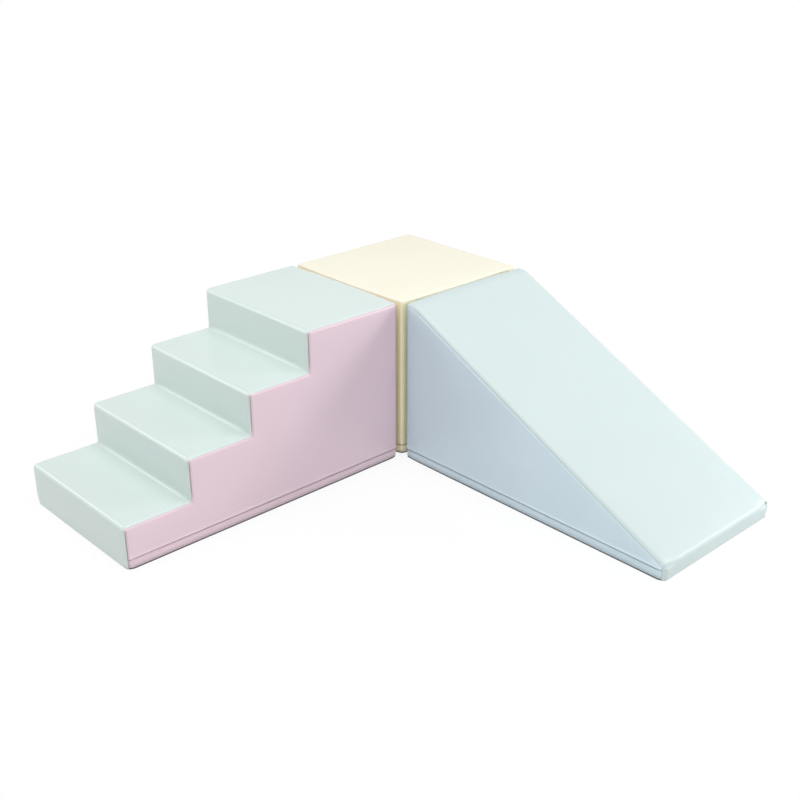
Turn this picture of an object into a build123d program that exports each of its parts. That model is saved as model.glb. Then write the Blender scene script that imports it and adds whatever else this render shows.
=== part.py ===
from build123d import *
from collections import namedtuple
from math import cos, radians
import os

# Soft-play corner set for toddlers: a flight of steps, a corner block and a slide.
# Each is a firm foam block in a sewn leatherette cover with a zip round three of its walls,
# and hook-and-loop strips hold the three together.
# Millimetres, +Z up, the slide along +X, the steps along -Y, origin on the floor
# under the middle of the whole set.

# Foam blocks
module_width = 590
riser_height = 150
step_count = 4
tread_depth = 246
top_tread = 402
slide_length = 1150
ledge_depth = 40
ledge_radius = 60
lip_height = 53
face_crown = 8

# Sewn edges of the covers
cover_thickness = 1.2
foam_clearance = 0.2
edge_radius = 10
nosing_softness = 3
cove_radius = 18
seam_angle = 45
base_rim = 5

# Zip above the floor, and its layers behind the cover
zip_height = 34
zip_slit = 3
zip_margin = 40
tape_width = 14
tape_thickness = 0.6
tape_hem = 6
coil_gap = 1.6
coil_height = 2.5
coil_thickness = 2
stop_length = 3
running_clearance = 0.35

# Zip slider and its pull
slider_length = 16
slider_height = 10
slider_corner = 3
slider_plate = 1.2
slider_park = 14
post_length = 5
post_thickness = 1
lug_thickness = 1.6
lug_radius = 2.3
pin_radius = 0.7
pin_clearance = 0.3
pin_stand = 1.8
pull_length = 28
pull_height = 8
pull_corner = 2.5
pull_thickness = 1.4
pull_hole = 4
pull_hole_margin = 5

# Hook-and-loop strips between the blocks
hook_thickness = 2
loop_thickness = 2
hook_clearance = 0.3
strip_width = 40
strip_spacing = 70
strip_low = 130
strip_height = 340

module_height = step_count * riser_height
steps_length = top_tread + (step_count - 1) * tread_depth
nosing_radius = edge_radius + nosing_softness
seam_inset = edge_radius * (1 - cos(radians(seam_angle)))
module_gap = 2 * face_crown + hook_thickness + loop_thickness + hook_clearance
spare = 4 * face_crown
touching = 0.001

# Depths behind the outer face of the cover, from the lips of the zip to the foam behind it
front_plate_depth = cover_thickness + running_clearance
tape_depth = front_plate_depth + slider_plate + running_clearance
coil_depth = tape_depth + tape_thickness
back_plate_depth = coil_depth + coil_thickness + running_clearance
groove_depth = back_plate_depth + slider_plate + running_clearance
pull_reach = pin_stand + lug_radius

# The inner corner of the set, where the three blocks meet, seen from the origin
corner_x = (module_width + pull_reach - module_gap - slide_length) / 2
corner_y = (module_gap + steps_length - module_width - pull_reach) / 2

Module = namedtuple("Module", "name floor length bends radii crowned_side slider_side")


def stair_bends():
    bends = []
    for step in range(step_count):
        edge = top_tread + step * tread_depth
        level = module_height - step * riser_height
        bends += [(edge, level), (edge, level - riser_height)]
    return bends


# Each floor plane starts at the middle of the block's back edge, with X away from the back.
# The bends run from the top of the block down to the foot of its front.
corner = Module(
    name="corner",
    floor=Plane((corner_x, corner_y + module_width / 2, 0), x_dir=(-1, 0, 0)),
    length=module_width,
    bends=[(module_width, module_height), (module_width, 0)],
    radii=[nosing_radius],
    crowned_side=True,
    slider_side=-1,
)
steps = Module(
    name="steps",
    floor=Plane((corner_x - module_width / 2, corner_y - module_gap, 0), x_dir=(0, -1, 0)),
    length=steps_length,
    bends=stair_bends(),
    radii=[nosing_radius, cove_radius] * (step_count - 1) + [nosing_radius],
    crowned_side=False,
    slider_side=-1,
)
slide = Module(
    name="slide",
    floor=Plane((corner_x + module_gap, corner_y + module_width / 2, 0), x_dir=(1, 0, 0)),
    length=slide_length,
    bends=[(ledge_depth, module_height), (slide_length, lip_height), (slide_length, 0)],
    radii=[ledge_radius, nosing_radius],
    crowned_side=False,
    slider_side=1,
)


def save(piece, label):
    piece.label = label
    export_step(piece, f"parts/{label}.step")


def side_plane(module):
    return Plane(module.floor.origin, x_dir=module.floor.x_dir, z_dir=-module.floor.y_dir)


# Side view of a block, drawn in by inset. It runs past the back, which the footprint closes.
def profile(module, inset):
    top_back = (-spare, module_height)
    with BuildSketch() as view:
        with BuildLine():
            FilletPolyline(top_back, *module.bends, radius=module.radii)
            Polyline(module.bends[-1], (-spare, 0), top_back)
        make_face()
        if inset:
            offset(amount=-inset)
    return view.sketch


# Plan of a block's walls, drawn in by inset. The walls that meet another block are crowned,
# and the plan runs past the front, which the profile closes.
def footprint(module, inset):
    half = module_width / 2
    front = module.length + spare
    with BuildSketch() as plan:
        with BuildLine():
            ThreePointArc((0, -half), (-face_crown, 0), (0, half))
            if module.crowned_side:
                ThreePointArc((0, half), (half, half + face_crown), (module.length, half))
                Line((module.length, half), (front, half))
            else:
                Line((0, half), (front, half))
            Polyline((front, half), (front, -half), (0, -half))
        make_face()
        if inset:
            offset(amount=-inset)
    return plan.sketch


# The whole block, drawn in by inset. Its sewn edges are rounded outside, and bevelled inside,
# where the seam allowances fill the corner.
def foam_form(module, inset):
    along = Axis(module.floor.origin, module.floor.x_dir)
    across = Axis(module.floor.origin, module.floor.y_dir)
    with BuildPart() as form:
        with BuildSketch(side_plane(module)):
            add(profile(module, inset))
        extrude(amount=module_width, both=True)
        with BuildSketch(module.floor.offset(-spare)):
            add(footprint(module, inset))
        extrude(amount=module_height + 2 * spare, mode=Mode.INTERSECT)
        by_width = form.faces().sort_by(across)
        walls = [by_width[0], by_width[-1], form.faces().sort_by(along)[0]]
        sewn = [
            edge
            for edge in form.edges()
            if edge.center().Z > inset + touching and any(edge in wall.edges() for wall in walls)
        ]
        if inset:
            chamfer(sewn, length=edge_radius - inset)
        else:
            fillet(sewn, radius=edge_radius)
    return form.part


# Everything from one height to another, between two distances from the back edge.
def zone(module, low, high, back, front):
    with BuildPart() as space:
        with BuildSketch(module.floor.offset(low)):
            with Locations(((back + front) / 2, 0)):
                Rectangle(front - back, 2 * module_width)
        extrude(amount=high - low)
    return space.part


# What lies inside the seams that run round the edges of the side and back panels.
def inside_seams(module):
    with BuildPart() as space:
        with BuildSketch(side_plane(module)):
            add(profile(module, seam_inset))
        extrude(amount=module_width, both=True)
    return space.part


# One half of a block, on the side that its floor plane's Y points to or on the other.
def half_space(module, side):
    with BuildPart() as space:
        with BuildSketch(module.floor):
            with Locations((0, side * module_width)):
                Rectangle(4 * module.length, 2 * module_width)
        extrude(amount=2 * module_height)
    return space.part


def cut_panel(shell, label, *spaces):
    with BuildPart() as panel:
        add(shell)
        for space in spaces:
            add(space, mode=Mode.INTERSECT)
    save(panel.part, label)


# The sewn cover: a panel over the front and top, two side panels and a back panel above the
# zip, a skirt below it, and a non-slip base with a low rim on the three zipped walls.
def make_cover(module, top_name, side_names):
    slit_low = zip_height - zip_slit / 2
    slit_high = zip_height + zip_slit / 2
    front_seam = module.length - seam_inset
    with BuildPart() as shell:
        add(foam_form(module, 0))
        add(foam_form(module, cover_thickness), mode=Mode.SUBTRACT)
    walls = inside_seams(module)
    with BuildPart() as top_panel:
        add(shell.part)
        add(walls, mode=Mode.SUBTRACT)
        add(zone(module, -spare, slit_high, -spare, front_seam), mode=Mode.SUBTRACT)
    save(top_panel.part, f"{module.name}_{top_name}")
    above_zip = zone(module, slit_high, 2 * module_height, seam_inset, front_seam + spare)
    for side, side_name in zip((1, -1), side_names):
        label = f"{module.name}_{side_name}"
        cut_panel(shell.part, label, walls, above_zip, half_space(module, side))
    behind = zone(module, slit_high, 2 * module_height, -spare, seam_inset)
    cut_panel(shell.part, f"{module.name}_back_panel", walls, behind)
    skirt = zone(module, base_rim, slit_low, -spare, front_seam)
    cut_panel(shell.part, f"{module.name}_skirt", skirt)
    base = zone(module, -spare, base_rim, -spare, front_seam)
    cut_panel(shell.part, f"{module.name}_base", base)


# The space inside the walls, drawn in by inset, between two heights from the middle of the zip.
def inside_walls(module, inset, low, high):
    along = Axis(module.floor.origin, module.floor.x_dir)
    with BuildPart() as space:
        with BuildSketch(module.floor.offset(zip_height + low)):
            add(footprint(module, inset))
        extrude(amount=high - low)
        back_edges = space.edges().filter_by(Axis.Z).sort_by(along)[:2]
        chamfer(back_edges, length=edge_radius - inset)
    return space.part


# A strip that follows the three zipped walls, between two heights from the middle of the zip
# and two depths behind the cover's outer face, and ends at front.
def zip_strip(module, low, high, outer, inner, front):
    with BuildPart() as strip:
        add(inside_walls(module, outer, low, high))
        add(inside_walls(module, inner, low, high), mode=Mode.SUBTRACT)
        ahead = zone(module, 0, module_height, front, module.length + 2 * spare)
        add(ahead, mode=Mode.SUBTRACT)
    return strip.part


# The foam presses back where the zip lies, which leaves a groove round three walls.
def make_foam_core(module):
    half_height = tape_width + running_clearance
    groove_end = module.length - zip_margin + stop_length + running_clearance
    with BuildPart() as core:
        add(foam_form(module, cover_thickness + foam_clearance))
        groove = zip_strip(module, -half_height, half_height, 0, groove_depth, groove_end)
        add(groove, mode=Mode.SUBTRACT)
    save(core.part, f"{module.name}_foam_core")


# Two tapes, sewn behind the lips of the cover and set back where the slider runs.
def make_zip(module):
    zip_end = module.length - zip_margin
    hem_edge = tape_width - tape_hem
    back_face = tape_depth + tape_thickness
    with BuildPart() as tapes:
        for side in (1, -1):
            for near, far, outer, inner in (
                (coil_gap / 2, hem_edge, tape_depth, back_face),
                (hem_edge - tape_thickness, hem_edge, cover_thickness, back_face),
                (hem_edge - tape_thickness, tape_width, cover_thickness, cover_thickness + tape_thickness),
            ):
                low, high = sorted((side * near, side * far))
                add(zip_strip(module, low, high, outer, inner, zip_end))
    save(tapes.part, f"{module.name}_zip_tapes")

    coil_top = coil_gap / 2 + coil_height
    coil_back = coil_depth + coil_thickness
    with BuildPart() as coils:
        add(zip_strip(module, coil_gap / 2, coil_top, coil_depth, coil_back, zip_end))
        add(zip_strip(module, -coil_top, -coil_gap / 2, coil_depth, coil_back, zip_end))
    save(coils.part, f"{module.name}_zip_coils")

    with BuildPart() as stops:
        add(zip_strip(module, -coil_top, coil_top, coil_depth, coil_back, zip_end + stop_length))
        add(zone(module, 0, module_height, -spare, zip_end), mode=Mode.SUBTRACT)
    save(stops.part, f"{module.name}_zip_stops")


# The slider's plane lies on the outer face of its wall: X back along the zip, Z outwards.
def slider_plane(module):
    ahead = module.floor.x_dir
    outward = module.floor.y_dir * module.slider_side
    place = module.floor.origin + ahead * (module.length - zip_margin - slider_park)
    place += outward * (module_width / 2) + Vector(0, 0, zip_height)
    return Plane(place, x_dir=-ahead, z_dir=outward)


def make_slider(module):
    wall = slider_plane(module)
    flat = Plane(wall.origin, x_dir=wall.x_dir, z_dir=-wall.y_dir)
    post_place = (post_length - slider_length) / 2
    with BuildPart() as slider:
        for depth in (front_plate_depth, back_plate_depth):
            with BuildSketch(wall.offset(-depth - slider_plate)) as plate:
                Rectangle(slider_length, slider_height)
                chamfer(plate.vertices(), length=slider_corner)
            extrude(amount=slider_plate)
        with BuildSketch(wall.offset(-back_plate_depth)):
            with Locations((post_place, 0)):
                Rectangle(post_length, post_thickness)
        extrude(amount=back_plate_depth - front_plate_depth - slider_plate)
        with BuildSketch(flat):
            with Locations((0, pin_stand)):
                Circle(lug_radius)
            Rectangle(2 * lug_radius, front_plate_depth, align=(Align.CENTER, Align.MAX))
            Rectangle(2 * lug_radius, pin_stand, align=(Align.CENTER, Align.MIN))
            with Locations((0, pin_stand)):
                Circle(pin_radius + pin_clearance, mode=Mode.SUBTRACT)
        extrude(amount=lug_thickness / 2, both=True)
    save(slider.part, f"{module.name}_zip_slider")

    window_height = lug_thickness + 2 * pin_clearance
    window_end = lug_radius + pin_clearance
    with BuildPart() as pull:
        with BuildSketch(wall.offset(pin_stand - pull_thickness / 2)):
            with Locations((-pin_radius, 0)):
                RectangleRounded(
                    pull_length, pull_height, pull_corner, align=(Align.MIN, Align.CENTER)
                )
            Rectangle(2 * window_end, window_height, mode=Mode.SUBTRACT)
            with Locations((pull_length - pull_hole_margin, 0)):
                Circle(pull_hole / 2, mode=Mode.SUBTRACT)
        extrude(amount=pull_thickness)
        with BuildSketch(Plane(wall.origin + wall.z_dir * pin_stand, x_dir=wall.x_dir, z_dir=wall.y_dir)):
            Circle(pin_radius)
        extrude(amount=pull_height / 4, both=True)
    save(pull.part, f"{module.name}_zip_pull")


# Strips of hook or loop that lie on the crown of a wall, each at a place in plan.
def make_strips(module, label, thickness, places):
    with BuildPart() as strips:
        for place in places:
            with BuildSketch(module.floor.offset(strip_low)):
                add(footprint(module, -thickness))
                add(footprint(module, 0), mode=Mode.SUBTRACT)
                with Locations(place):
                    Rectangle(strip_width, strip_width, mode=Mode.INTERSECT)
            extrude(amount=strip_height)
    save(strips.part, label)


os.makedirs("parts", exist_ok=True)

make_cover(corner, "top_panel", ("side_panel_inner", "side_panel_outer"))
make_cover(steps, "tread_panel", ("side_panel_inner", "side_panel_outer"))
make_cover(slide, "bed_panel", ("side_panel_outer", "side_panel_inner"))
for block in (corner, steps, slide):
    make_foam_core(block)
    make_zip(block)
    make_slider(block)

back_strips = [(-face_crown, -strip_spacing / 2), (-face_crown, strip_spacing / 2)]
side_strips = [
    ((module_width + shift) / 2, module_width / 2 + face_crown)
    for shift in (-strip_spacing, strip_spacing)
]
make_strips(corner, "corner_loop_strips", loop_thickness, back_strips + side_strips)
make_strips(steps, "steps_hook_strips", hook_thickness, back_strips)
make_strips(slide, "slide_hook_strips", hook_thickness, back_strips)
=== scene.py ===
import bpy
import bmesh
import math
from mathutils import Matrix, Vector, noise


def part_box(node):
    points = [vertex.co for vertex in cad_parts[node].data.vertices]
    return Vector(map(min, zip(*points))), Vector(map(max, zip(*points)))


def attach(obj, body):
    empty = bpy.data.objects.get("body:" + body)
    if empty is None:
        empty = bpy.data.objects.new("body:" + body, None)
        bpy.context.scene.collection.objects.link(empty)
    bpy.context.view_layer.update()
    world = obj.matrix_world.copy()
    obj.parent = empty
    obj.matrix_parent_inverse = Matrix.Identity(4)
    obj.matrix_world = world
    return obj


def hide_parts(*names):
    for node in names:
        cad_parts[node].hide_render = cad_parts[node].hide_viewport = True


# Soft-play corner set: foam steps, a corner block and a foam slide in sewn leatherette covers.
# Each block is modelled in its own terms, u away from its back, v across it and z up,
# and its finished pieces are put where the frame has that block.

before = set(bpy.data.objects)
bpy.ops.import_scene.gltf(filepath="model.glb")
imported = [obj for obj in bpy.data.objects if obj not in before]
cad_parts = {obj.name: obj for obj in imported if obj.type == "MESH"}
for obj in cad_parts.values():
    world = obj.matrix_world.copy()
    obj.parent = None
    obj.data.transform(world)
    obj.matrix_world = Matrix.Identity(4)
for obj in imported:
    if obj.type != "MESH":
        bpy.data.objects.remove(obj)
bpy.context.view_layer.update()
print("frame loaded:", len(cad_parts), "nodes")

# Cut and sewing of the covers, in metres
coverSet = {
    "crown": 0.008,          # how far a wall that meets another block swells
    "crownFade": 0.035,      # the crown ends this far from its wall
    "edgeRadius": {"corner": 0.009, "steps": 0.0125, "slide": 0.015},
    # degrees of a round that the top panel covers
    "topTurn": {"corner": 80.0, "steps": 45.0, "slide": 80.0},
    "sideTurn": 67.5,        # the side panels go round the upright back edges
    "underTilt": 0.72,       # a face that looks down more than this is the base's
    "floorTilt": 0.05,       # past this it is on the rounded floor edge
    "nosingRadius": 0.0155,
    "lipRadius": 0.018,
    "coveRadius": 0.018,     # where the cover bridges from a riser to a tread
    "coveEnd": 0.075,        # it closes up to the foam over this length at each end
    "coveTuck": 0.85,
    "footRadius": 0.024,     # corners drawn in at the floor
    "footRise": 0.040,
    "ledgeRadius": 0.060,
    "ledgeDepth": 0.040,
    "treadDepth": 0.246,
    "stepCount": 4,
    "lipHeight": 0.053,
    "floorRadius": 0.0025,
    "floorSegments": 4,
    "rimHeight": 0.0055,     # black base that shows on the zipped walls
    "zipHeight": 0.034,
    "zipSlit": 0.0034,
    "zipEnd": 0.040,         # how far from the front the zip ends and its lips draw together
    "zipShut": 0.0007,       # each lip moves this far towards the other
    "shutOver": 0.012,       # they do so over this length
    "shutReach": 0.008,      # and draw the cover along this far from the slit
    "thickness": 0.0012,
    "edgeSegments": 8,
    "bendSegments": 8,
    "cellSize": 0.009,
    "cutSnap": 0.0006,       # a corner this close to a cut stays in place
    "edgeClear": 0.003,      # no cut runs this close to a round or to the lip of the zip
    "ridgeClear": 0.004,
    # how far the rows beside a seam are drawn in, deepest on the hard-pulled steps
    "grooveRows": {
        "corner": (0.0006, 0.0002), "steps": (0.0040, 0.0026, 0.0008), "slide": (0.0010, 0.0004),
    },
    "levelSeam": 0.5,        # a seam along a level edge is drawn in less than that
    "uprightSeam": 1.7,      # and one that runs upright is drawn in this much deeper
    "uprightTilt": 0.35,     # a normal that rises less than this is on an upright edge
    # least depth near a bend, where it starts to deepen and over what length
    "bendEase": (0.25, 0.006, 0.020),
    "bulge": 0.0022,         # swell of a taut panel over the foam
    "bulgeReach": 0.110,
    "ripple": 0.0005,        # slow unevenness of the foam under the cover
    "rippleSize": 0.16,
    "rippleReach": 0.04,     # it fades this close to a seam
    # small gathers that the stitches draw in
    "pucker": {"corner": 0.0001, "steps": 0.0006, "slide": 0.0006},
    "puckerPitch": 0.031,
    "puckerRows": 4,
    "puckerSway": 2.2,       # radians by which they wander, and how fast
    "puckerSwayScale": 9,
    "ridge": 0.0055,         # folded lip above the zip
    "sliderRidge": 0.0005,   # pressed flat where the slider and its pull run
    "ridgeHeight": 0.009,
    "ridgeStart": 0.0025,    # it swells over this height
    "lipRowsBelow": (0.005, 0.0015),    # rows of points under and over the slit
    "lipRowsAbove": (0.001, 0.0025, 0.0045, 0.0065),
    "upperTurn": (0.0013, 0.002),       # how deep the lips turn in at the slit, and over what height
    "lowerTurn": (0.0012, 0.004),
    "skirtFlare": 0.0016,    # the skirt stands out at its foot
    "flareHeight": 0.018,
}
slitLow = coverSet["zipHeight"] - coverSet["zipSlit"] / 2
slitHigh = coverSet["zipHeight"] + coverSet["zipSlit"] / 2


# Stage 1: where the frame has the blocks

topPanel, plusSide, minusSide, backPanel, underside = range(5)
skirtBox = {name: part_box(name + "_skirt") for name in ("corner", "steps", "slide")}
stepsLow, stepsHigh = skirtBox["steps"]
slideLow, slideHigh = skirtBox["slide"]
blockWidth = stepsHigh.x - stepsLow.x
halfWidth = blockWidth / 2
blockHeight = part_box("corner_top_panel")[1].z
crown = coverSet["crown"]


def stairBends(length):
    bends = []
    riser = blockHeight / coverSet["stepCount"]
    for step in range(coverSet["stepCount"]):
        edge = length - (coverSet["stepCount"] - 1 - step) * coverSet["treadDepth"]
        level = blockHeight - step * riser
        bends.append((edge, level, coverSet["nosingRadius"]))
        bends.append((edge, level - riser, coverSet["coveRadius"]))
    return bends[:-1]


def makeBlock(name, origin, ahead, length, topName, sideNames, bends, crownedSide):
    across = Vector((-ahead.y, ahead.x, 0))
    place = Matrix.Identity(4)
    for row in range(3):
        place[row][0] = ahead[row]
        place[row][1] = across[row]
        place[row][3] = origin[row]
    return {
        "name": name, "place": place, "length": length, "topName": topName,
        "sideNames": sideNames, "bends": bends, "crownedSide": crownedSide,
        "edgeRadius": coverSet["edgeRadius"][name], "topTurn": coverSet["topTurn"][name],
        "grooveRows": coverSet["grooveRows"][name], "pucker": coverSet["pucker"][name],
        "sliderSide": plusSide if name == "slide" else minusSide,
    }


stepsBack = Vector(((stepsLow.x + stepsHigh.x) / 2, stepsHigh.y - crown, 0))
stepsLength = stepsBack.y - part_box("steps_tread_panel")[0].y
slideBack = Vector((slideLow.x + crown, (slideLow.y + slideHigh.y) / 2, 0))
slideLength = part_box("slide_bed_panel")[1].x - slideBack.x
cornerBack = Vector((skirtBox["corner"][1].x - crown, slideBack.y, 0))
cornerLength = cornerBack.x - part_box("corner_top_panel")[0].x

blocks = [
    makeBlock("corner", cornerBack, Vector((-1, 0, 0)), cornerLength, "top_panel",
              ("side_panel_inner", "side_panel_outer"),
              [(cornerLength, blockHeight, coverSet["nosingRadius"])], True),
    makeBlock("steps", stepsBack, Vector((0, -1, 0)), stepsLength, "tread_panel",
              ("side_panel_inner", "side_panel_outer"), stairBends(stepsLength), False),
    makeBlock("slide", slideBack, Vector((1, 0, 0)), slideLength, "bed_panel",
              ("side_panel_outer", "side_panel_inner"),
              [(coverSet["ledgeDepth"], blockHeight, coverSet["ledgeRadius"]),
               (slideLength, coverSet["lipHeight"], coverSet["lipRadius"])], False),
]
print("blocks:", [(b["name"], round(b["length"], 3)) for b in blocks])


# Stage 2: finishes

def linear(hexCode):
    channels = [int(hexCode[i:i + 2], 16) / 255 for i in (1, 3, 5)]
    return [c / 12.92 if c <= 0.04045 else ((c + 0.055) / 1.055) ** 2.4 for c in channels] + [1.0]


def addNode(tree, kind, settings=None, links=None):
    node = tree.nodes.new(kind)
    for key, value in (settings or {}).items():
        if isinstance(key, int) or key in node.inputs:
            node.inputs[key].default_value = value
        else:
            setattr(node, key, value)
    for key, source in (links or {}).items():
        tree.links.new(source, node.inputs[key])
    return node


def newMaterial(name):
    material = bpy.data.materials.new(name)
    material.use_nodes = True
    tree = material.node_tree
    return material, tree, tree.nodes["Principled BSDF"]


# Soft-play leatherette is PVC on a knitted back, embossed with a fine grain and satin to the eye:
# a soft sheen on bends, and a colour that hardly varies. The bed and the corner's top are more matt.
def leatherette(name, hexCode, shadeCode, shine=(0.27, 0.36), level=0.8):
    material, tree, shader = newMaterial(name)
    grainSize = 0.0030      # real grain is about 1 mm, drawn coarser so that it shows
    cloudSize = 0.22
    coords = addNode(tree, "ShaderNodeTexCoord").outputs["Object"]
    clouds = addNode(tree, "ShaderNodeTexNoise", {"Scale": 1 / cloudSize, "Detail": 3.0},
                     {"Vector": coords})
    tint = addNode(tree, "ShaderNodeMix", {"data_type": "RGBA"}, {0: clouds.outputs["Fac"]})
    tint.inputs[6].default_value = linear(hexCode)
    tint.inputs[7].default_value = linear(shadeCode)
    tree.links.new(tint.outputs[2], shader.inputs["Base Color"])
    grain = addNode(tree, "ShaderNodeTexVoronoi", {"Scale": 1 / grainSize}, {"Vector": coords})
    gloss = addNode(tree, "ShaderNodeMapRange", {"To Min": shine[0], "To Max": shine[1]},
                    {"Value": grain.outputs["Distance"]})
    tree.links.new(gloss.outputs["Result"], shader.inputs["Roughness"])
    bump = addNode(tree, "ShaderNodeBump", {"Strength": 0.18, "Distance": 0.0003},
                   {"Height": grain.outputs["Distance"]})
    tree.links.new(bump.outputs["Normal"], shader.inputs["Normal"])
    shader.inputs["Specular IOR Level"].default_value = level
    return material


mattShine, mattLevel = (0.42, 0.50), 0.5
finishes = {
    "mint": leatherette("Leatherette mint", "#d8e6e2", "#d4e2de"),
    "lilac": leatherette("Leatherette lilac", "#e7cfda", "#e3cbd5"),
    # The bed is the steps' mint leatherette. This copy is more matt, and its colour is drawn darker than
    # the mint as painted shade against the strong light that falls on the tilted bed.
    "matt_mint_painted_shade": leatherette("Leatherette ice mint", "#d1dfdf", "#cddbdb", mattShine, mattLevel),
    "cream": leatherette("Leatherette cream", "#faf6e5", "#f8f3df", mattShine, mattLevel),
    # The corner's walls are the same cream leatherette as its top. This yellower copy is painted bounce
    # light: the warm tint the cream walls take from light thrown between the blocks in the gaps.
    "cream_painted_bounce": leatherette("Leatherette butter", "#fff8d2", "#fdf4ca"),
    "blue": leatherette("Leatherette blue", "#d2e5ee", "#cde1ea"),
}


# The base is a black woven non-slip fabric with a rubbery back: matt, with a fine thread.
def nonSlipFabric():
    material, tree, shader = newMaterial("Non-slip fabric")
    threadSize = 0.0025
    coords = addNode(tree, "ShaderNodeTexCoord").outputs["Object"]
    weave = addNode(tree, "ShaderNodeTexVoronoi", {"Scale": 1 / threadSize}, {"Vector": coords})
    ramp = addNode(tree, "ShaderNodeMix", {"data_type": "RGBA"}, {0: weave.outputs["Distance"]})
    ramp.inputs[6].default_value = linear("#47454a")
    ramp.inputs[7].default_value = linear("#59575d")
    tree.links.new(ramp.outputs[2], shader.inputs["Base Color"])
    bump = addNode(tree, "ShaderNodeBump", {"Strength": 0.4, "Distance": 0.0004},
                   {"Height": weave.outputs["Distance"]})
    tree.links.new(bump.outputs["Normal"], shader.inputs["Normal"])
    shader.inputs["Roughness"].default_value = 0.85
    return material


# Upholstery foam: pale, open cells, fully matt.
def openCellFoam():
    material, tree, shader = newMaterial("Polyurethane foam")
    cellSize = 0.003
    coords = addNode(tree, "ShaderNodeTexCoord").outputs["Object"]
    cells = addNode(tree, "ShaderNodeTexVoronoi", {"Scale": 1 / cellSize}, {"Vector": coords})
    ramp = addNode(tree, "ShaderNodeMix", {"data_type": "RGBA"}, {0: cells.outputs["Distance"]})
    ramp.inputs[6].default_value = linear("#cfc9b4")
    ramp.inputs[7].default_value = linear("#efeada")
    tree.links.new(ramp.outputs[2], shader.inputs["Base Color"])
    bump = addNode(tree, "ShaderNodeBump", {"Strength": 0.7, "Distance": 0.001},
                   {"Height": cells.outputs["Distance"]})
    tree.links.new(bump.outputs["Normal"], shader.inputs["Normal"])
    shader.inputs["Roughness"].default_value = 0.95
    return material


# Zip tape and hook-and-loop tape are woven polyester: matt, with a visible twill.
def wovenTape(name, hexCode, shadeCode, threadSize):
    material, tree, shader = newMaterial(name)
    coords = addNode(tree, "ShaderNodeTexCoord").outputs["Object"]
    coarseScale = 1 / (20 * threadSize)     # several times as coarse as the thread, so that it shows
    twill = addNode(tree, "ShaderNodeTexWave", {"Scale": coarseScale, "bands_direction": "DIAGONAL"},
                    {"Vector": coords})
    tint = addNode(tree, "ShaderNodeMix", {"data_type": "RGBA"}, {0: twill.outputs["Fac"]})
    tint.inputs[6].default_value = linear(hexCode)
    tint.inputs[7].default_value = linear(shadeCode)
    tree.links.new(tint.outputs[2], shader.inputs["Base Color"])
    bump = addNode(tree, "ShaderNodeBump", {"Strength": 0.5, "Distance": 0.0003},
                   {"Height": twill.outputs["Fac"]})
    tree.links.new(bump.outputs["Normal"], shader.inputs["Normal"])
    shader.inputs["Roughness"].default_value = 0.8
    return material


# Slider, pull and stops: zinc with a satin nickel plate, smudged a little.
def nickelPlate():
    material, tree, shader = newMaterial("Nickel-plated zinc")
    smudgeSize = 0.006
    coords = addNode(tree, "ShaderNodeTexCoord").outputs["Object"]
    smudge = addNode(tree, "ShaderNodeTexNoise", {"Scale": 1 / smudgeSize, "Detail": 4.0},
                     {"Vector": coords})
    gloss = addNode(tree, "ShaderNodeMapRange", {"To Min": 0.22, "To Max": 0.38},
                    {"Value": smudge.outputs["Fac"]})
    tree.links.new(gloss.outputs["Result"], shader.inputs["Roughness"])
    shader.inputs["Base Color"].default_value = linear("#b9b6b0")
    shader.inputs["Metallic"].default_value = 1.0
    return material


# Zip teeth, hooks and loops are drawn nylon: smooth threads with a soft shine.
def drawnNylon(name, hexCode, shadeCode):
    material, tree, shader = newMaterial(name)
    streakSize = 0.004
    coords = addNode(tree, "ShaderNodeTexCoord").outputs["Object"]
    streaks = addNode(tree, "ShaderNodeTexNoise", {"Scale": 1 / streakSize, "Detail": 2.0},
                      {"Vector": coords})
    tint = addNode(tree, "ShaderNodeMix", {"data_type": "RGBA"}, {0: streaks.outputs["Fac"]})
    tint.inputs[6].default_value = linear(hexCode)
    tint.inputs[7].default_value = linear(shadeCode)
    tree.links.new(tint.outputs[2], shader.inputs["Base Color"])
    gloss = addNode(tree, "ShaderNodeMapRange", {"To Min": 0.35, "To Max": 0.5},
                    {"Value": streaks.outputs["Fac"]})
    tree.links.new(gloss.outputs["Result"], shader.inputs["Roughness"])
    return material


finishes["base"] = nonSlipFabric()
finishes["foam"] = openCellFoam()
finishes["tape"] = wovenTape("Zip tape polyester", "#d8d4cf", "#c6c1bb", 0.0008)
finishes["loop"] = wovenTape("Loop tape polyester", "#efe8d4", "#e2d9c0", 0.0012)
finishes["hook"] = wovenTape("Hook tape nylon", "#e9e9e6", "#cfcfcb", 0.0012)
finishes["coil"] = drawnNylon("Nylon grey", "#6f6a70", "#837e84")
finishes["pile"] = drawnNylon("Nylon off-white", "#ece9e2", "#f8f6f0")
finishes["nickel"] = nickelPlate()
coverColour = {"corner": ("cream", "cream_painted_bounce"), "steps": ("mint", "lilac"), "slide": ("matt_mint_painted_shade", "blue")}
print("finishes:", sorted(finishes))


# Stage 3: the form of a covered block, by its bends, sewn edges and floor edge

def bevelEdges(bm, edges, offset, segments):
    bmesh.ops.bevel(bm, geom=edges, offset=offset, offset_type="OFFSET", segments=segments, profile=0.5,
                    affect="EDGES", material=-1, clamp_overlap=False)


def outlineOf(block):
    bends = [(u, z) for u, z, radius in block["bends"]]
    return [(0.0, blockHeight)] + bends + [(block["length"], 0.0), (0.0, 0.0)]


def turnAt(outline, index):
    before = Vector(outline[index]) - Vector(outline[index - 1])
    after = Vector(outline[index + 1]) - Vector(outline[index])
    return before.angle(after)


def straightRuns(block):
    outline = outlineOf(block)
    runs = []
    start = 0.0
    for index, (u, z, radius) in enumerate(block["bends"]):
        tangent = radius * math.tan(turnAt(outline, index + 1) / 2)
        runs.append((outline[index], (u, z), start, tangent))
        start = tangent
    runs.append((outline[-3], outline[-2], start, 0.0))
    return runs


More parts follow.
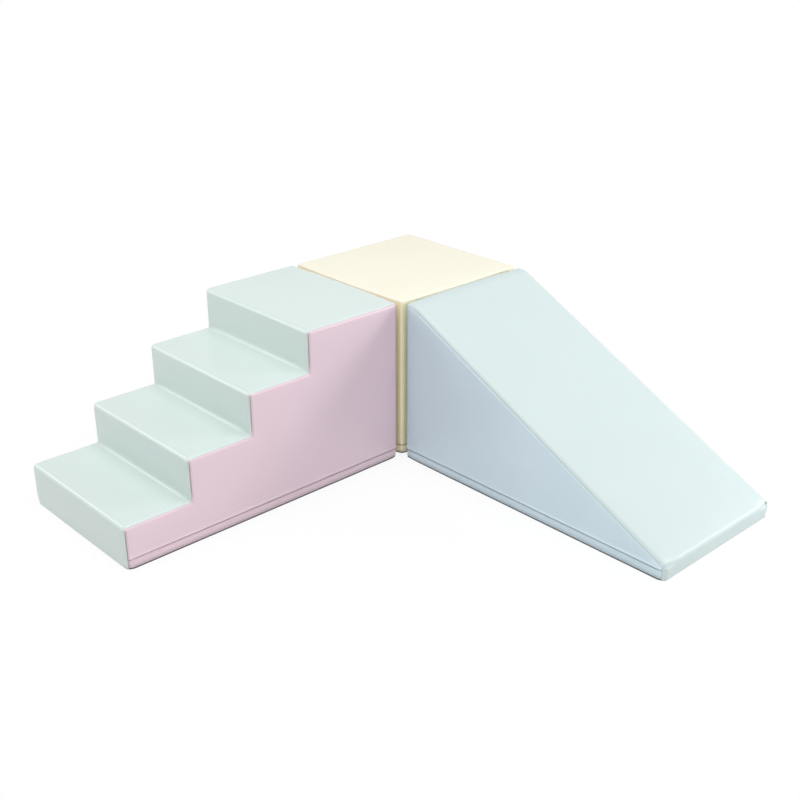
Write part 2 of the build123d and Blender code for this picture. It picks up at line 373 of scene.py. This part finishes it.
# Even places along the straight runs, so that no cut falls in a rounded bend
def cutPlaces(block):
    alongCuts, heightCuts = [], []
    for low, high, skipLow, skipHigh in straightRuns(block):
        first, last = Vector(low), Vector(high)
        run = last - first
        span = run.length - skipLow - skipHigh
        count = max(1, round(span / coverSet["cellSize"]))
        for step in range(1, count):
            point = first + run.normalized() * (skipLow + span * step / count)
            if abs(run.x) > abs(run.y):
                alongCuts.append(point.x)
            # a slope is cut across its height too, at every other place
            if abs(run.y) > abs(run.x) or (0.01 < abs(run.y) and step % 2 == 0):
                heightCuts.append(point.y)
    return alongCuts, heightCuts


def cutAt(bm, axis, places):
    normal = Vector((axis == "u", axis == "v", axis == "z"))
    for place in places:
        bmesh.ops.bisect_plane(bm, geom=bm.verts[:] + bm.edges[:] + bm.faces[:], dist=coverSet["cutSnap"],
                               plane_co=normal * place, plane_no=normal)


def blockForm(block, withCuts=True):
    bm = bmesh.new()
    outline = outlineOf(block)
    sideFace = bm.faces.new([bm.verts.new((u, -halfWidth, z)) for u, z in outline])
    grown = bmesh.ops.extrude_face_region(bm, geom=[sideFace])["geom"]
    farCorners = [g for g in grown if isinstance(g, bmesh.types.BMVert)]
    bmesh.ops.translate(bm, vec=(0, blockWidth, 0), verts=farCorners)
    bmesh.ops.recalc_face_normals(bm, faces=bm.faces[:])

    for index, (u, z, radius) in enumerate(block["bends"]):
        spot = Vector((u, z))
        bend = [
            e for e in bm.edges
            if all((Vector((v.co.x, v.co.z)) - spot).length < 1e-6 for v in e.verts)
        ]
        bevelEdges(bm, bend, radius * math.tan(turnAt(outline, index + 1) / 2), coverSet["bendSegments"])

    walls = [f for f in bm.faces if abs(f.normal.y) > 0.99 or f.normal.x < -0.99]
    sewn = {e for f in walls for e in f.edges if max(v.co.z for v in e.verts) > 1e-6}
    bevelEdges(bm, list(sewn), block["edgeRadius"], coverSet["edgeSegments"])
    floorFaces = [f for f in bm.faces if f.normal.z < -0.99]
    rim = {e for f in floorFaces for e in f.edges}
    bevelEdges(bm, list(rim), coverSet["floorRadius"], coverSet["floorSegments"])
    bmesh.ops.recalc_face_normals(bm, faces=bm.faces[:])
    if not withCuts:
        return bm

    alongCuts, heightCuts = cutPlaces(block)
    count = round(blockWidth / coverSet["cellSize"])
    span = halfWidth - block["edgeRadius"]
    widthCuts = [-span + 2 * span * step / count for step in range(1, count)]
    ridgeTop = slitHigh + coverSet["ridgeHeight"]
    lips = [coverSet["rimHeight"]] + [slitLow - drop for drop in coverSet["lipRowsBelow"]]
    lips += [slitLow, slitHigh] + [slitHigh + rise for rise in coverSet["lipRowsAbove"]] + [ridgeTop]
    clear = block["edgeRadius"] + coverSet["edgeClear"]
    alongCuts = [u for u in alongCuts if clear < u < block["length"] - clear]
    heightCuts = [z for z in heightCuts if ridgeTop + coverSet["ridgeClear"] < z < blockHeight - clear]
    cutAt(bm, "u", alongCuts)
    cutAt(bm, "v", widthCuts)
    cutAt(bm, "z", lips + heightCuts)
    return bm


def panelOf(block, face):
    normal = face.normal
    if normal.z < -coverSet["underTilt"]:
        return underside
    towardsSide, towardsBack = abs(normal.y), max(0.0, -normal.x)
    towardsTop = math.sqrt(max(0.0, 1 - towardsSide ** 2 - towardsBack ** 2))
    if normal.z < -coverSet["floorTilt"]:
        towardsTop = max(0.0, normal.x)
    if towardsTop > max(towardsSide, towardsBack) / math.tan(math.radians(block["topTurn"])):
        return topPanel
    if towardsBack > towardsSide * math.tan(math.radians(coverSet["sideTurn"])):
        return backPanel
    return plusSide if normal.y > 0 else minusSide


def distanceToLine(point, first, last):
    run = last - first
    share = max(0.0, min(1.0, (point - first).dot(run) / run.length_squared))
    return (point - first - run * share).length


# How far a point of a panel lies from the seams and bends that hold it down
def heldDistance(outline, panel, co):
    point = Vector((co.x, co.z))
    if panel == topPanel:
        bends = min((point - Vector(spot)).length for spot in outline[:-1])
        return min(halfWidth - abs(co.y), bends)
    zipLine = abs(co.z - coverSet["zipHeight"])
    if panel == backPanel:
        return min(halfWidth - abs(co.y), blockHeight - co.z, zipLine)
    runs = zip(outline[:-2], outline[1:-1])
    edges = min(distanceToLine(point, Vector(first), Vector(last)) for first, last in runs)
    return min(edges, zipLine, max(0.0, co.x))


def seamRows(bm, panelLayer):
    rows = {}
    for edge in bm.edges:
        kinds = {f[panelLayer] for f in edge.link_faces}
        if len(kinds) > 1 and underside not in kinds:
            rows.update({v: 0 for v in edge.verts})
    border = list(rows)
    for row in range(1, coverSet["puckerRows"] + 1):
        found = []
        for vert in border:
            for link in vert.link_edges:
                other = link.other_vert(vert)
                if other not in rows:
                    rows[other] = row
                    found.append(other)
        border = found
    return rows


def smoothStep(x):
    x = max(0.0, min(1.0, x))
    return x * x * (3 - 2 * x)


# The cover bridges the inner corners of the stair, but its seams follow the foam into them
def tuckCoves(block, bm, evenly=False):
    radius = coverSet["coveRadius"]
    coves = [(u, z) for u, z, bend in block["bends"] if bend == radius]
    for vert in bm.verts:
        for edge, level in coves:
            ahead, above = edge + radius - vert.co.x, level + radius - vert.co.z
            reach = math.hypot(ahead, above)
            if min(ahead, above) < -1e-5 or not radius - 1e-4 < reach < radius + block["edgeRadius"] + 1e-4:
                continue
            inward = reach - radius
            share = math.atan2(above, ahead) / (math.pi / 2)
            if share < 0.5:
                corner = (edge - inward, level + radius - 2 * share * (radius + inward))
            else:
                corner = (edge - inward + (2 * share - 1) * (radius + inward), level - inward)
            fromSide = halfWidth - abs(vert.co.y)
            tuck = coverSet["coveTuck"] * (1 - smoothStep(fromSide / coverSet["coveEnd"]))
            if evenly:
                tuck = 1.0
            vert.co.x += (corner[0] - vert.co.x) * tuck
            vert.co.z += (corner[1] - vert.co.z) * tuck


# Towards the floor the upright corners are rounder
def roundFoot(block, bm):
    radius = coverSet["footRadius"]
    for vert in bm.verts:
        hold = 1 - smoothStep(vert.co.z / coverSet["footRise"])
        fromEnd = min(vert.co.x, block["length"] - vert.co.x)
        along, across = radius - fromEnd, radius - (halfWidth - abs(vert.co.y))
        beyond = math.hypot(along, across) - radius
        if hold > 0 and min(along, across) > 0 and beyond > 0:
            pull = hold * beyond / (beyond + radius)
            vert.co.x += math.copysign(along * pull, block["length"] / 2 - vert.co.x)
            vert.co.y -= math.copysign(across * pull, vert.co.y)


# Walls that meet another block are crowned
def crownForm(block, bm):
    for vert in bm.verts:
        u, v = vert.co.x, vert.co.y
        vert.co.x -= crown * (1 - (v / halfWidth) ** 2) * (1 - smoothStep(u / coverSet["crownFade"]))
        if block["crownedSide"]:
            fade = 1 - smoothStep((halfWidth - v) / coverSet["crownFade"])
            vert.co.y += crown * (1 - (2 * u / block["length"] - 1) ** 2) * fade


# Swells the panels, draws in the seams, and turns the lips of the zip
def dressForm(block, bm, panelLayer):
    outline = outlineOf(block)
    rows = seamRows(bm, panelLayer)
    tuckCoves(block, bm)
    roundFoot(block, bm)
    bm.normal_update()
    easeLeast, easeFrom, easeOver = coverSet["bendEase"]
    upperDepth, upperHeight = coverSet["upperTurn"]
    lowerDepth, lowerHeight = coverSet["lowerTurn"]
    moves = {}
    for vert in bm.verts:
        kinds = [f[panelLayer] for f in vert.link_faces]
        panel = kinds[0]
        if underside in kinds:
            continue
        co = vert.co
        meets = backPanel in kinds or (block["crownedSide"] and plusSide in kinds)
        held = max(0.0, min(heldDistance(outline, kind, co) for kind in set(kinds)))
        lift = 0.0
        if not meets:
            lift = coverSet["bulge"] * (1 - (1 - min(1.0, held / coverSet["bulgeReach"])) ** 2)
            slow = noise.noise(co / coverSet["rippleSize"])
            lift += coverSet["ripple"] * slow * min(1.0, held / coverSet["rippleReach"])
        row = rows.get(vert)
        if row is not None and row < len(block["grooveRows"]):
            nearBend = min((Vector((co.x, co.z)) - Vector(spot)).length for spot in outline[:-1])
            ease = easeLeast + (1 - easeLeast) * smoothStep((nearBend - easeFrom) / easeOver)
            upright = abs(vert.normal.z) < coverSet["uprightTilt"]
            lift -= block["grooveRows"][row] * ease * coverSet["uprightSeam" if upright else "levelSeam"]
        if row is not None and row > 0:
            along = co.x - co.z + co.y
            sway = coverSet["puckerSway"] * noise.noise(co * coverSet["puckerSwayScale"])
            wave = math.sin(2 * math.pi * along / coverSet["puckerPitch"] + sway)
            # most in the second row from the seam
            lift -= block["pucker"] * (0.5 + 0.5 * wave) * (1 - abs(row - 2) / 3)
        if topPanel not in kinds:
            above = co.z - slitHigh
            ridge = coverSet["sliderRidge" if panel == block["sliderSide"] or meets else "ridge"]
            if -1e-6 <= above <= coverSet["ridgeHeight"]:
                share = max(0.0, min(1.0, above / coverSet["ridgeHeight"]))
                lift += ridge * (1 - share) * smoothStep(above / coverSet["ridgeStart"])
                lift -= upperDepth * (1 - smoothStep(above / upperHeight))
            below = slitLow - co.z
            if below >= -1e-6:
                lift -= lowerDepth * (1 - smoothStep(below / lowerHeight))
                lift += coverSet["skirtFlare"] * smoothStep(below / coverSet["flareHeight"])
        moves[vert] = vert.normal * lift
    for vert, move in moves.items():
        vert.co += move
    crownForm(block, bm)


# Past the ends of the zip its lips close
def closeLips(block, bm):
    for vert in bm.verts:
        past = smoothStep((vert.co.x - block["length"] + coverSet["zipEnd"]) / coverSet["shutOver"])
        away = vert.co.z - coverSet["zipHeight"]
        near = max(0.0, 1 - (abs(away) - coverSet["zipSlit"] / 2) / coverSet["shutReach"])
        vert.co.z -= math.copysign(coverSet["zipShut"] * past * near, away)


# Stage 4: the pieces of a cover, cut from the form along its seams

def takePiece(form, keep):
    bm = form.copy()
    layer = bm.faces.layers.int["panel"]
    drop = [f for f in bm.faces if not keep(f[layer], f.calc_center_median().z)]
    bmesh.ops.delete(bm, geom=drop, context="FACES")
    return bm


def finishPiece(bm, name, place, finish, body, node, thickness=None):
    mesh = bpy.data.meshes.new(name)
    bmesh.ops.transform(bm, matrix=place, verts=bm.verts[:])
    for face in bm.faces:
        face.smooth = True
    bm.to_mesh(mesh)
    bm.free()
    piece = bpy.data.objects.new(name, mesh)
    bpy.context.scene.collection.objects.link(piece)
    mesh.materials.append(finish)
    if thickness:
        skin = piece.modifiers.new("cover thickness", "SOLIDIFY")
        skin.thickness = thickness
        skin.offset = -1
    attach(piece, body)
    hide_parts(node)
    return piece


def buildCover(block):
    name = block["name"]
    body = name + "_block"
    form = blockForm(block)
    panelLayer = form.faces.layers.int.new("panel")
    form.normal_update()
    for face in form.faces:
        face[panelLayer] = panelOf(block, face)
    dressForm(block, form, panelLayer)
    rim = coverSet["rimHeight"]
    topColour, wallColour = coverColour[name]
    zipped = (plusSide, minusSide, backPanel)
    cuts = [
        (block["topName"], topColour, lambda kind, z: kind == topPanel),
        (block["sideNames"][0], wallColour, lambda kind, z: kind == plusSide and z > slitHigh),
        (block["sideNames"][1], wallColour, lambda kind, z: kind == minusSide and z > slitHigh),
        ("back_panel", wallColour, lambda kind, z: kind == backPanel and z > slitHigh),
        ("skirt", wallColour, lambda kind, z: kind in zipped and rim < z < slitLow),
        ("base", "base", lambda kind, z: kind == underside or (kind in zipped and z < rim)),
    ]
    for part, colour, keep in cuts:
        bm = takePiece(form, keep)
        if part != block["topName"]:
            closeLips(block, bm)
        area = sum(f.calc_area() for f in bm.faces)
        piece = finishPiece(bm, f"{name}.{part}", block["place"], finishes[colour], body,
                            f"{name}_{part}", coverSet["thickness"])
    print("cover of", name, len(form.faces), "faces")
    form.free()


# Stage 5: the foam inside, with the groove that the zip lies in

foamSet = {
    "inset": 0.0052,
    "pressed": 0.0045,       # more at the edges, which the cover pulls on
    "edgeRadius": 0.018,
    "bendRadius": 0.0185,    # least radius of a nosing
    "grooveHalf": 0.01435, "grooveDepth": 0.0064,
    "groovePast": 0.004,     # the groove goes this far past the zip
    "widthCells": 6, "lengthCells": 12,     # across each half, and along
}


def buildFoam(block):
    name = block["name"]
    bends = [
        (u, z, radius if radius == coverSet["coveRadius"] else max(radius, foamSet["bendRadius"]))
        for u, z, radius in block["bends"]
    ]
    core = dict(block, edgeRadius=foamSet["edgeRadius"], bends=bends)
    bm = blockForm(core, withCuts=False)
    grooveLow = coverSet["zipHeight"] - foamSet["grooveHalf"]
    grooveHigh = coverSet["zipHeight"] + foamSet["grooveHalf"]
    cutAt(bm, "z", [grooveLow, grooveHigh])
    across, along = foamSet["widthCells"], foamSet["lengthCells"]
    cutAt(bm, "v", [halfWidth * step / across for step in range(1 - across, across)])
    grooveEnd = block["length"] - coverSet["zipEnd"] + foamSet["groovePast"]
    cutAt(bm, "u", [block["length"] * step / along for step in range(1, along)] + [grooveEnd])
    tuckCoves(core, bm, evenly=True)
    roundFoot(block, bm)
    bm.normal_update()
    band = [
        f for f in bm.faces
        if grooveLow < f.calc_center_median().z < grooveHigh and f.calc_center_median().x < grooveEnd
        and panelOf(block, f) in (plusSide, minusSide, backPanel)
    ]
    for vert in bm.verts:
        onEdge = 2 * abs(vert.normal.y) * math.sqrt(max(0.0, 1 - vert.normal.y ** 2))
        vert.co -= vert.normal * (foamSet["inset"] + foamSet["pressed"] * onEdge)
    grown = bmesh.ops.extrude_face_region(bm, geom=band)["geom"]
    bmesh.ops.delete(bm, geom=band, context="FACES_ONLY")
    bm.normal_update()
    for vert in [g for g in grown if isinstance(g, bmesh.types.BMVert)]:
        outward = Vector((vert.normal.x, vert.normal.y, 0))
        vert.co -= outward.normalized() * foamSet["grooveDepth"]
    crownForm(block, bm)
    foam = finishPiece(bm, name + ".foam_core", block["place"], finishes["foam"], name + "_block",
                       name + "_foam_core")


for block in blocks:
    buildFoam(block)
    buildCover(block)


# Stage 6: zips, and the hook-and-loop strips between the blocks

zipSet = {
    # from the middle of the zip outwards, and how deep under the wall
    "section": ((0.0008, 0.0031), (0.0074, 0.0031), (0.0078, 0.0013), (0.0138, 0.0013)),
    "tapeWidth": 0.0145,
    "tapeThickness": 0.0006,
    "pathStep": 0.012,
    "toothStep": 0.0011,     # teeth of the two coils take turns along the zip
    "toothHalf": 0.0006,
    "toothEnds": (-0.0006, 0.0033),
    "toothTaper": 0.7,
    "toothDepths": (0.0038, 0.0057),
}


# Places along the three zipped walls, from one end of the zip to the other, with the way outwards
def wallPath(block, spacing):
    radius = block["edgeRadius"]
    end = block["length"] - coverSet["zipEnd"]
    sideRun, backRun, arc = end - radius, 2 * (halfWidth - radius), radius * math.pi / 2
    path = []
    for run, place in (
        (sideRun, lambda share: (Vector((end - sideRun * share, halfWidth, 0)), Vector((0, 1, 0)))),
        (arc, lambda share: roundBack(radius, halfWidth - radius, 90 + 90 * share)),
        (backRun, lambda share: (Vector((0, halfWidth - radius - backRun * share, 0)), Vector((-1, 0, 0)))),
        (arc, lambda share: roundBack(radius, radius - halfWidth, 180 + 90 * share)),
        (sideRun, lambda share: (Vector((radius + sideRun * share, -halfWidth, 0)), Vector((0, -1, 0)))),
    ):
        count = max(2, round(run / spacing))
        path += [place(step / count) for step in range(count)]
    return path + [(Vector((end, -halfWidth, 0)), Vector((0, -1, 0)))]


def roundBack(radius, middle, degrees):
    outward = Vector((math.cos(math.radians(degrees)), math.sin(math.radians(degrees)), 0))
    return Vector((radius, middle, 0)) + outward * radius, outward


def buildZip(block):
    name, level = block["name"], Vector((0, 0, coverSet["zipHeight"]))
    rise = Vector((0, 0, 1))
    tapes = bmesh.new()
    for up in (1, -1):
        last = None
        for point, outward in wallPath(block, zipSet["pathStep"]):
            row = [
                tapes.verts.new(point + level + rise * up * high - outward * deep)
                for high, deep in zipSet["section"]
            ]
            if last:
                for i in range(len(row) - 1):
                    corners = (last[i], row[i], row[i + 1], last[i + 1])
                    tapes.faces.new(corners[::up])
            last = row
    roundFoot(block, tapes)
    crownForm(block, tapes)
    area = sum(f.calc_area() for f in tapes.faces)
    tape = finishPiece(tapes, name + ".zip_tapes", block["place"], finishes["tape"], name + "_block",
                       name + "_zip_tapes", zipSet["tapeThickness"])

    coils = bmesh.new()
    low, high = zipSet["toothEnds"]
    front, back = zipSet["toothDepths"]
    for index, (point, outward) in enumerate(wallPath(block, zipSet["toothStep"])):
        up = 1 if index % 2 else -1
        along = outward.cross(rise) * zipSet["toothHalf"]
        ends = [[coils.verts.new(point + level + rise * up * end + along * wide * side - outward * deep)
                 for side, deep in ((-1, front), (1, front), (1, back), (-1, back))]
                for end, wide in ((low, zipSet["toothTaper"]), (high, 1.0))]
        for i in range(4):
            coils.faces.new((ends[0][i], ends[0][i - 1], ends[1][i - 1], ends[1][i]))
        coils.faces.new(ends[0])
        coils.faces.new(ends[1][::-1])
    bmesh.ops.recalc_face_normals(coils, faces=coils.faces[:])
    crownForm(block, coils)
    finishPiece(coils, name + ".zip_coils", block["place"], finishes["coil"], name + "_block",
                name + "_zip_coils")
    print("zip of", name)


# The tape of a strip is woven, with hooks or loops that stand on it
stripSet = {
    "width": 0.040, "low": 0.130, "height": 0.340, "spacing": 0.070, "cell": 0.005, "tapeThickness": 0.0007,
    "cutSpare": 1.001,       # cut a little longer than it lies
    "pileHeight": 0.0012, "pilePitch": 0.0034, "pileWidth": 0.0006, "pileLean": 0.0010,
    "pileEdge": 0.002,       # bare edge round the pile
    "pileShift": 0.3,        # every other row stands this share of the pitch aside
    "cane": ((0.0, 0.0), (0.0, 0.7), (0.25, 1.0), (0.75, 0.95), (0.95, 0.6)),   # of a hook, along and up
    "arch": ((-1.0, 0.0), (-0.85, 0.7), (0.0, 1.0), (0.85, 0.7), (1.0, 0.0)),   # of a loop
}


# Where a point of a strip lies on its crowned wall, given its place across and its height over the wall
def onWall(block, side, across, over, z):
    if side == backPanel:
        return Vector((-crown * (1 - (across / halfWidth) ** 2) - over, across, z))
    u = block["length"] / 2 + across
    return Vector((u, halfWidth + crown * (1 - (2 * u / block["length"] - 1) ** 2) + over, z))


def buildStrips(block, kind):
    name = block["name"]
    walls = (backPanel, plusSide) if block["crownedSide"] else (backPanel,)
    tape, pile = bmesh.new(), bmesh.new()
    columns = round(stripSet["width"] / stripSet["cell"])
    rows = round(stripSet["height"] / stripSet["cell"])
    top = stripSet["tapeThickness"]
    for side in walls:
        for middle in (-stripSet["spacing"] / 2, stripSet["spacing"] / 2):
            places = [middle + stripSet["width"] * (i / columns - 0.5) for i in range(columns + 1)]
            levels = [stripSet["low"] + stripSet["height"] * j / rows for j in range(rows + 1)]
            grid = [
                [tape.verts.new(onWall(block, side, across, top, z)) for across in places]
                for z in levels
            ]
            for j in range(rows):
                for i in range(columns):
                    tape.faces.new((grid[j][i], grid[j + 1][i], grid[j + 1][i + 1], grid[j][i + 1]))
            standPile(block, side, middle, kind, pile)
    bmesh.ops.recalc_face_normals(tape, faces=tape.faces[:])
    for face in tape.faces:
        outward = Vector((-1, 0, 0)) if face.calc_center_median().x < 0 else Vector((0, 1, 0))
        if face.normal.dot(outward) < 0:
            face.normal_flip()
    area = sum(f.calc_area() for f in tape.faces)
    node = f"{name}_{kind}_strips"
    strips = finishPiece(tape, f"{name}.{kind}_strips", block["place"], finishes[kind], name + "_block",
                         node, top)
    standing = finishPiece(pile, f"{name}.{kind}_pile", block["place"], finishes["pile"], name + "_block",
                           node)


# Hooks are little canes, loops are little arches
def standPile(block, side, middle, kind, pile):
    pitch, wide, tall = stripSet["pilePitch"], stripSet["pileWidth"], stripSet["pileHeight"]
    bottom = stripSet["tapeThickness"]
    columns = int((stripSet["width"] - 2 * stripSet["pileEdge"]) / pitch)
    rows = int((stripSet["height"] - 2 * stripSet["pileEdge"]) / pitch)
    for j in range(rows + 1):
        for i in range(columns + 1):
            across = middle + (i - columns / 2) * pitch + (stripSet["pileShift"] * pitch if j % 2 else 0.0)
            z = stripSet["low"] + stripSet["pileEdge"] + j * pitch
            turn = 1 if (i + j) % 2 else -1
            last = None
            for shift, rise in stripSet["cane" if kind == "hook" else "arch"]:
                pair = [pile.verts.new(onWall(block, side, across + edge * wide / 2, bottom + tall * rise,
                                              z + turn * shift * stripSet["pileLean"])) for edge in (-1, 1)]
                if last:
                    pile.faces.new((last[0], last[1], pair[1], pair[0]))
                last = pair


for block in blocks:
    buildZip(block)
    buildStrips(block, "loop" if block["name"] == "corner" else "hook")

for nodeName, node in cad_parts.items():
    if nodeName.endswith(("zip_stops", "zip_slider", "zip_pull")):
        node.data.materials.clear()
        node.data.materials.append(finishes["nickel"])
print("trim finished")


# Stage 7: floor, light and camera

stageSet = {
    "floorSize": 30.0,
    "floorGrey": "#ebebeb",  # what the floor throws back at the object
    "shadowShare": 0.15,     # how much of the floor's own shading the camera sees
    "shadowCore": 0.6,       # from here outwards that share falls
    "shadowReach": 1.9,      # past this the floor is plain white
    "worldStrength": 0.30,
    "lampAim": (0, 0, 0.3),
    "cameraPlace": (2.5317, -2.3581, 1.9881),
    "lookAzimuth": 136.96, "lookElevation": -24.58,
    "lens": 52.59,
}
softboxes = [
    {"name": "top softbox", "power": 117.0, "size": (4.0, 4.0), "place": (0.2, -0.2, 4.6)},
    {"name": "front softbox", "power": 40.0, "size": (3.2, 3.2), "place": (3.0, -2.9, 2.6)},
    {"name": "front right softbox", "power": 12.0, "size": (2.0, 2.0), "place": (3.8, -0.9, 2.2)},
    {"name": "left softbox", "power": 15.5, "size": (0.9, 1.6), "place": (-2.6, -1.7, 1.9)},
    {"name": "low left softbox", "power": 6.5, "size": (0.9, 0.9), "place": (-1.9, -2.9, 1.1)},
    {"name": "right softbox", "power": 50.0, "size": (1.0, 1.4), "place": (2.2, 2.9, 1.35)},
]


def seenDirectly(tree):
    rays = addNode(tree, "ShaderNodeLightPath")
    seen = addNode(tree, "ShaderNodeMath", {"operation": "MAXIMUM"},
                   {0: rays.outputs["Is Camera Ray"], 1: rays.outputs["Is Glossy Ray"]})
    seen = addNode(tree, "ShaderNodeMath", {"operation": "MAXIMUM"},
                   {0: seen.outputs[0], 1: rays.outputs["Is Transmission Ray"]})
    return seen.outputs[0]


def buildStage():
    floorMesh = bpy.data.meshes.new("floor")
    bm = bmesh.new()
    bmesh.ops.create_grid(bm, x_segments=1, y_segments=1, size=stageSet["floorSize"] / 2)
    bm.to_mesh(floorMesh)
    bm.free()
    floor = bpy.data.objects.new("floor", floorMesh)
    bpy.context.scene.collection.objects.link(floor)
    material, tree, shader = newMaterial("Studio floor white")
    seen = seenDirectly(tree)
    paint = addNode(tree, "ShaderNodeMix", {"data_type": "RGBA"}, {0: seen})
    paint.inputs[6].default_value = linear(stageSet["floorGrey"])
    paint.inputs[7].default_value = linear("#ffffff")
    tree.links.new(paint.outputs[2], shader.inputs["Base Color"])
    shader.inputs["Roughness"].default_value = 1.0
    shader.inputs["Specular IOR Level"].default_value = 0.0
    coords = addNode(tree, "ShaderNodeTexCoord").outputs["Object"]
    reach = addNode(tree, "ShaderNodeVectorMath", {"operation": "LENGTH"}, {0: coords})
    fade = {"interpolation_type": "SMOOTHSTEP", "To Min": 1 - stageSet["shadowShare"], "To Max": 1.0,
            "From Min": stageSet["shadowCore"], "From Max": stageSet["shadowReach"]}
    white = addNode(tree, "ShaderNodeMapRange", fade, {"Value": reach.outputs["Value"]})
    share = addNode(tree, "ShaderNodeMath", {"operation": "MULTIPLY"},
                    {0: seen, 1: white.outputs["Result"]})
    glow = addNode(tree, "ShaderNodeEmission", {"Color": (1, 1, 1, 1), "Strength": 1.0})
    mix = addNode(tree, "ShaderNodeMixShader", {},
                  {0: share.outputs[0], 1: shader.outputs[0], 2: glow.outputs[0]})
    tree.links.new(mix.outputs[0], tree.nodes["Material Output"].inputs["Surface"])
    floorMesh.materials.append(material)

    world = bpy.data.worlds.new("studio")
    bpy.context.scene.world = world
    world.use_nodes = True
    tree = world.node_tree
    backdrop = tree.nodes["Background"]
    backdrop.inputs["Color"].default_value = (1, 1, 1, 1)
    strength = addNode(tree, "ShaderNodeMapRange", {"To Min": stageSet["worldStrength"], "To Max": 1.0},
                       {"Value": seenDirectly(tree)})
    tree.links.new(strength.outputs["Result"], backdrop.inputs["Strength"])


def addSoftbox(box):
    lamp = bpy.data.lights.new(box["name"], "AREA")
    lamp.energy = box["power"]
    lamp.shape = "RECTANGLE"
    lamp.size, lamp.size_y = box["size"]
    softbox = bpy.data.objects.new(box["name"], lamp)
    softbox.location = box["place"]
    aim = Vector(stageSet["lampAim"]) - Vector(box["place"])
    softbox.rotation_euler = aim.to_track_quat("-Z", "Y").to_euler()
    bpy.context.scene.collection.objects.link(softbox)


def buildCamera():
    camera = bpy.data.objects.new("camera", bpy.data.cameras.new("camera"))
    camera.data.sensor_width = 36.0
    camera.data.lens = stageSet["lens"]
    azimuth, elevation = math.radians(stageSet["lookAzimuth"]), math.radians(stageSet["lookElevation"])
    look = Vector((math.cos(elevation) * math.cos(azimuth), math.cos(elevation) * math.sin(azimuth),
                   math.sin(elevation)))
    camera.location = stageSet["cameraPlace"]
    camera.rotation_euler = look.to_track_quat("-Z", "Y").to_euler()
    bpy.context.scene.collection.objects.link(camera)
    bpy.context.scene.camera = camera


buildStage()
for box in softboxes:
    addSoftbox(box)
buildCamera()
bpy.context.scene.view_settings.view_transform = "Standard"
print("stage ready")
